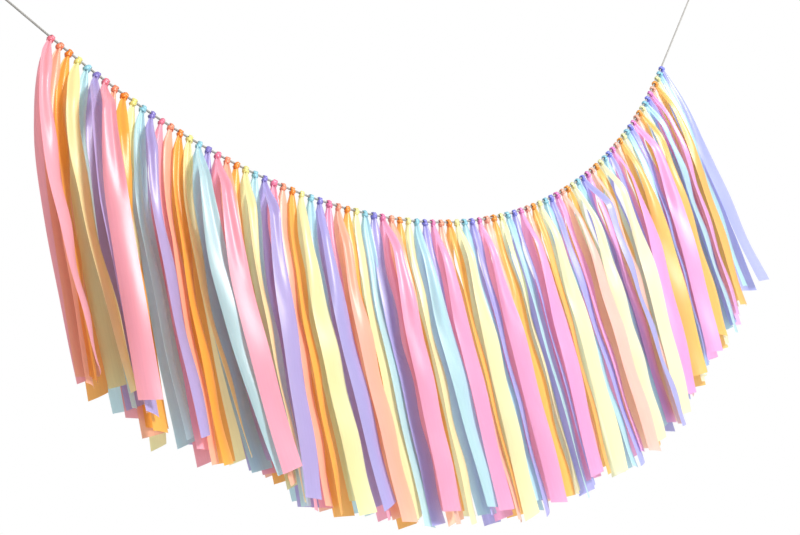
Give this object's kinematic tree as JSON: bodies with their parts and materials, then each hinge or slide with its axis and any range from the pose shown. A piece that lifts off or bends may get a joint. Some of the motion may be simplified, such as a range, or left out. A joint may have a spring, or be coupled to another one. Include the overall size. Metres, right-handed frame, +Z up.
{
  "type": "highchair ribbon banner",
  "caption": "Garland of satin ribbons knotted side by side over a sagging string, with an eye at each end to tie it across a highchair tray.",
  "frame": {"origin": "middle of the left hanging eye", "axes": "+X along the banner to its right end, +Y to the back, +Z up"},
  "size_m": [1.092, 0.1036, 0.7089],
  "materials": {
    "string": "matt twisted cotton string",
    "ribbon_satin": "glossy woven satin ribbon in pink, coral, orange, yellow, aqua and violet by turns"
  },
  "bodies": {
    "root": {"cord": "string", "eye_left": "string", "eye_right": "string", "ribbons_01": "ribbon_satin", "ribbons_02": "ribbon_satin", "ribbons_03": "ribbon_satin", "ribbons_04": "ribbon_satin", "ribbons_05": "ribbon_satin", "ribbons_06": "ribbon_satin", "ribbons_07": "ribbon_satin", "ribbons_08": "ribbon_satin", "ribbons_09": "ribbon_satin", "ribbons_10": "ribbon_satin", "ribbons_11": "ribbon_satin", "ribbons_12": "ribbon_satin", "ribbons_13": "ribbon_satin", "ribbons_14": "ribbon_satin", "ribbons_15": "ribbon_satin"}
  },
  "joints": []
}
